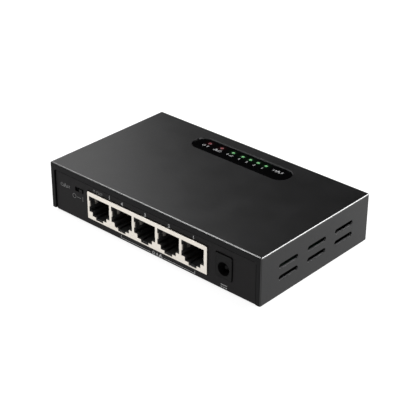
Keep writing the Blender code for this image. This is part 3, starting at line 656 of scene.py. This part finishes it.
def finger(name, x, side):
    """Strip folded into a port from the shield's edge: it bulges inwards and springs back near its end."""
    edge = x + side * OPENING_HALF_WIDTH
    low, high = BASE + FINGER_LOW, BASE + FINGER_HIGH
    thick = FINGER_THICKNESS
    bm = bmesh.new()
    loops = []
    for step, (inward, back) in enumerate(FINGER_FOLD + FINGER_SPRING, 1):
        taper = FINGER_TIP_TAPER * max(0, step - len(FINGER_FOLD)) / len(FINGER_SPRING)
        place = edge - side * inward * MM
        depth = shield_front + back * MM
        loops.append([bm.verts.new((place, depth, low + taper)), bm.verts.new((place, depth, high - taper)),
                      bm.verts.new((place + side * thick, depth + thick, high - taper)),
                      bm.verts.new((place + side * thick, depth + thick, low + taper))])
    for first, second in zip(loops, loops[1:]):
        for index in range(4):
            after = (index + 1) % 4
            bm.faces.new((first[index], first[after], second[after], second[index]))
    bm.faces.new(loops[0])
    bm.faces.new(loops[-1])
    return new_piece(name, bm, nickel, CASE, 60)


for index, x in enumerate(port_centres, 1):
    finger(f"shield_finger_left_{index}", x, -1)
    finger(f"shield_finger_right_{index}", x, 1)


# ---------------------------------------------------------------- folded edges behind the panels

def folded_edges(name, side):
    """Strips that close the gap between a chassis panel and the cover's opening. side is -1 in front."""
    behind, thickness = 0.95 * MM, 0.2 * MM
    near = side * (chassis_high.y - behind)
    limits_y = sorted((near, near - side * thickness))
    outer, inner = 60.8 * MM, 58.2 * MM
    foot, shoulder, top = BASE + 0.6 * MM, BASE + 18.8 * MM, BASE + 20.8 * MM
    upright = (foot, shoulder)
    blocks = (((-outer, -inner), upright), ((inner, outer), upright), ((-outer, outer), (shoulder, top)))
    bm = bmesh.new()
    for limits_x, limits_z in blocks:
        made = bmesh.ops.create_cube(bm, size=1.0)["verts"]
        for vert in made:
            vert.co = [limits[0] if corner < 0 else limits[1]
                       for corner, limits in zip(vert.co, (limits_x, limits_y, limits_z))]
    return new_piece(name, bm, panel_painted_shade, CASE)


folded_edges("front_folded_edges", -1)
folded_edges("back_folded_edges", 1)


# ---------------------------------------------------------------- light tips in the window

TIP_RADIUS = 0.72 * MM
TIP_RISE = 0.28 * MM
TIP_GAP = 0.02 * MM


def light_tip(name, x, y, look):
    """Low dome on the end of a light pipe rod."""
    radius, rise, seat = TIP_RADIUS, TIP_RISE, pipe_top + TIP_GAP
    around, rings = 24, 6
    bm = bmesh.new()
    loops = []
    for step in range(rings):
        angle = math.radians(90 * step / rings)
        loops.append([bm.verts.new((x + radius * math.cos(angle) * math.cos(2 * math.pi * turn / around),
                                    y + radius * math.cos(angle) * math.sin(2 * math.pi * turn / around),
                                    seat + rise * math.sin(angle))) for turn in range(around)])
    top = bm.verts.new((x, y, seat + rise))
    for lower, upper in zip(loops, loops[1:]):
        for turn in range(around):
            after = (turn + 1) % around
            bm.faces.new((lower[turn], lower[after], upper[after], upper[turn]))
    for turn in range(around):
        bm.faces.new((loops[-1][turn], loops[-1][(turn + 1) % around], top))
    bm.faces.new(loops[0])
    return new_piece(name, bm, look, CASE, 80)


for index, ((x, y), colour) in enumerate(zip(leds, led_colours), 1):
    if colour is RED:
        core, rim, strength, slot = (0.5, 0.06, 0.09), (0.16, 0.012, 0.02), 0.2, "red_led"
    else:
        core, rim, strength, slot = (0.55, 0.85, 0.5), (0.04, 0.3, 0.07), 0.45, "green_led"
    tip_look = glowing(f"tip_light_{index}", core, rim, (x, y), TIP_RADIUS, strength)
    light_tip(f"light_tip_{index}", x, y, tip_look)


# ---------------------------------------------------------------- printed marks

def on_panel(u, v, height):
    return (u, PANEL_Y - height, BASE + v)


def on_window(u, v, height):
    return (u, v, window_high.z + height)


def icon_row(icons, size, u, v):
    """Three pictograms side by side. The middle one is at (u, v)."""
    marks = []
    for step, icon in enumerate(icons, -1):
        marks += moved(icon(size, INK_LINE), u + ICON_STEP * step, v)
    return marks


ICON_STEP = 2.1 * MM
BRACKET_LOW, BRACKET_HIGH = 0.5 * MM, 1.9 * MM
BRACKET_OVERHANG = 0.9 * MM
BRACKET_GAP = (0.3 * MM, 8.0 * MM)
BRACKET_STROKE = 0.8 * INK_LINE
PORT_DIGIT, PORT_DIGIT_SHIFT, PORT_DIGIT_Z = 2.3 * MM, 0.1 * MM, 17.55 * MM
DIVIDER_SHIFT, DIVIDER_Z, DIVIDER_STROKE = 6.3 * MM, (16.9 * MM, 18.9 * MM), 1.3 * INK_LINE

divider_x = port_centres[0] + DIVIDER_SHIFT
bracket_left, bracket_right = port_centres[1] - BRACKET_OVERHANG, port_centres[4] + BRACKET_OVERHANG
front_marks = ribbon([(divider_x, height) for height in DIVIDER_Z], DIVIDER_STROKE)
for number, x in zip("4321", port_centres[1:]):
    front_marks += digit_faces(number, PORT_DIGIT, x + PORT_DIGIT_SHIFT, PORT_DIGIT_Z)
left_half = [(bracket_left, BRACKET_HIGH), (bracket_left, BRACKET_LOW), (BRACKET_GAP[0], BRACKET_LOW)]
right_half = [(BRACKET_GAP[1], BRACKET_LOW), (bracket_right, BRACKET_LOW), (bracket_right, BRACKET_HIGH)]
front_marks += ribbon(left_half, BRACKET_STROKE) + ribbon(right_half, BRACKET_STROKE)
front_marks += icon_row((power_icon, bolt_icon, group_icon), 1.6 * MM, 4.1 * MM, 0.85 * MM)
front_marks += moved(direct_current_icon(2.9 * MM, 1.2 * INK_LINE), jack_x, 1.2 * MM)
print_marks("front_print", front_marks, on_panel, front_ink)

first_port_icons = (up_arrow_icon, power_icon, exchange_icon)
faint_marks = icon_row(first_port_icons, 1.8 * MM, port_centres[0] - 1.2 * MM, 17.5 * MM)
faint_marks += icon_row((power_icon, group_icon, exchange_icon), 1.7 * MM, -53.0 * MM, 13.75 * MM)
faint_marks += moved(on_off_icon(2.9 * MM, INK_LINE), -44.4 * MM, 10.65 * MM)
print_marks("faint_print", faint_marks, on_panel, faint_ink)

LABEL_DROP = 2.9 * MM
LABEL_ICON, LABEL_DIGIT = 1.7 * MM, 2.0 * MM
ICON_HALF_STEP = 1.15 * MM
SIDE_LABEL_SHIFT, SIDE_LABEL_DROP = 7.6 * MM, 0.6 * MM

light_y = leds[0][1]
label_y = light_y - LABEL_DROP
window_marks = []
status_icons = ((power_icon, bolt_icon), (group_icon, square_icon), (up_arrow_icon, exchange_icon))
for (x, y), icons in zip(leds, status_icons):
    for side, icon in zip((-1, 1), icons):
        window_marks += moved(icon(LABEL_ICON, INK_LINE), x + side * ICON_HALF_STEP, label_y)
for (x, y), number in zip(leds[3:], "4321"):
    window_marks += digit_faces(number, LABEL_DIGIT, x, label_y)
side_icons = (exchange_icon, group_icon, bolt_icon)
window_marks += icon_row(side_icons, LABEL_ICON, leds[-1][0] + SIDE_LABEL_SHIFT, light_y - SIDE_LABEL_DROP)
print_marks("window_print", window_marks, on_window, window_ink)


# ---------------------------------------------------------------- studio

FLOOR_ALBEDO = (0.39, 0.41)
FLOOR_GLOW = 0.88
UPPER_WORLD = 0.006
WORLD_STRENGTH = 0.85
LENS = 108.8
CAMERA_ANGLES = (41.73, 29.25, 0.38)
CAMERA_DISTANCE = 0.5655
CAMERA_SHIFT = (0.915 * MM, 6.33 * MM)
# Softboxes: direction from the case and power, then the side ones as azimuth, height angle and power.
TOP_LIGHTS = (((-0.42, -0.62, 0.66), 1.082), ((-0.5, 0.0, 0.87), 0.672), ((-0.47, -0.35, 0.81), 0.679))
BACK_LIGHTS = (((0.7, 0.6, 0.35), 5.2), ((0.55, 0.62, 0.52), 1.2))
SIDE_LIGHTS = ((160, 50, 0.561), (150, 20, 0.077), (172, 36, 0.068), (150, 34, 0.053), (140, 44, 0.031))
FAR, NEAR = 0.8, 0.5
TOP_SIZE, BACK_SIZE, SIDE_SIZE = (0.2, 0.2), (0.4, 0.22), (0.18, 0.18)


def make_floor():
    """Pale lit floor that reaches past every edge of the view."""
    bm = bmesh.new()
    bmesh.ops.create_grid(bm, x_segments=1, y_segments=1, size=6.0)
    mesh = bpy.data.meshes.new("studio_floor")
    bm.to_mesh(mesh)
    bm.free()
    floor = bpy.data.objects.new("studio_floor", mesh)
    bpy.context.scene.collection.objects.link(floor)
    look = Nodes("floor_white", (0.4, 0.4, 0.4), 0.8, specular=0.0)
    darker, lighter = ((albedo,) * 3 for albedo in FLOOR_ALBEDO)
    look.feed("Base Color", look.mix(look.noise(0.4), darker, lighter))
    look.set("Emission Color", (1.0, 1.0, 1.0, 1.0))
    look.set("Emission Strength", FLOOR_GLOW)
    mesh.materials.append(look.material)


def soft_light(name, towards, distance, size, power):
    """Rectangular softbox in a direction from the case, facing it."""
    data = bpy.data.lights.new(name, "AREA")
    data.shape = "RECTANGLE"
    data.size, data.size_y = size
    data.energy = power
    lamp = bpy.data.objects.new(name, data)
    direction = Vector(towards).normalized()
    lamp.location = direction * distance
    lamp.rotation_euler = direction.to_track_quat("Z", "Y").to_euler()
    bpy.context.scene.collection.objects.link(lamp)


def make_camera():
    """Camera at the photo's view: azimuth from the front towards the right side, height angle and roll."""
    azimuth, elevation, roll = (math.radians(angle) for angle in CAMERA_ANGLES)
    right_by, up_by = CAMERA_SHIFT
    back = Vector((math.sin(azimuth) * math.cos(elevation), -math.cos(azimuth) * math.cos(elevation),
                   math.sin(elevation)))
    level_right = Vector((math.cos(azimuth), math.sin(azimuth), 0.0))
    level_up = back.cross(level_right)
    right = math.cos(roll) * level_right + math.sin(roll) * level_up
    up = math.cos(roll) * level_up - math.sin(roll) * level_right
    data = bpy.data.cameras.new("camera")
    data.lens = LENS
    data.clip_start = 0.01
    camera = bpy.data.objects.new("camera", data)
    place = Vector((0.0, 0.0, BASE)) + back * CAMERA_DISTANCE + right * right_by + up * up_by
    camera.matrix_world = Matrix.Translation(place) @ Matrix((right, up, back)).transposed().to_4x4()
    bpy.context.scene.collection.objects.link(camera)
    bpy.context.scene.camera = camera


def make_world():
    """White near the horizon, dark higher up, so that only the softboxes shine in the top."""
    world = bpy.data.worlds.new("studio")
    world.use_nodes = True
    tree = world.node_tree
    direction = tree.nodes.new("ShaderNodeTexCoord")
    split = tree.nodes.new("ShaderNodeSeparateXYZ")
    fade = tree.nodes.new("ShaderNodeMapRange")
    fade.interpolation_type = "SMOOTHSTEP"
    for name, value in (("From Min", 0.1), ("From Max", 0.3), ("To Min", 1.0), ("To Max", UPPER_WORLD)):
        fade.inputs[name].default_value = value
    tree.links.new(direction.outputs["Generated"], split.inputs[0])
    tree.links.new(split.outputs[2], fade.inputs["Value"])
    background = tree.nodes["Background"]
    background.inputs["Strength"].default_value = WORLD_STRENGTH
    tree.links.new(fade.outputs["Result"], background.inputs["Color"])
    bpy.context.scene.world = world


make_floor()
make_world()
make_camera()
bpy.context.scene.view_settings.view_transform = "Standard"
for number, (towards, power) in enumerate(TOP_LIGHTS, 1):
    soft_light(f"top_{number}", towards, FAR, TOP_SIZE, power)
for number, (towards, power) in enumerate(BACK_LIGHTS, 1):
    soft_light(f"back_{number}", towards, FAR, BACK_SIZE, power)
for number, (azimuth, height, power) in enumerate(SIDE_LIGHTS, 1):
    turn, rise = math.radians(azimuth), math.radians(height)
    towards = (math.cos(turn) * math.cos(rise), math.sin(turn) * math.cos(rise), math.sin(rise))
    soft_light(f"side_{number}", towards, NEAR, SIDE_SIZE, power)
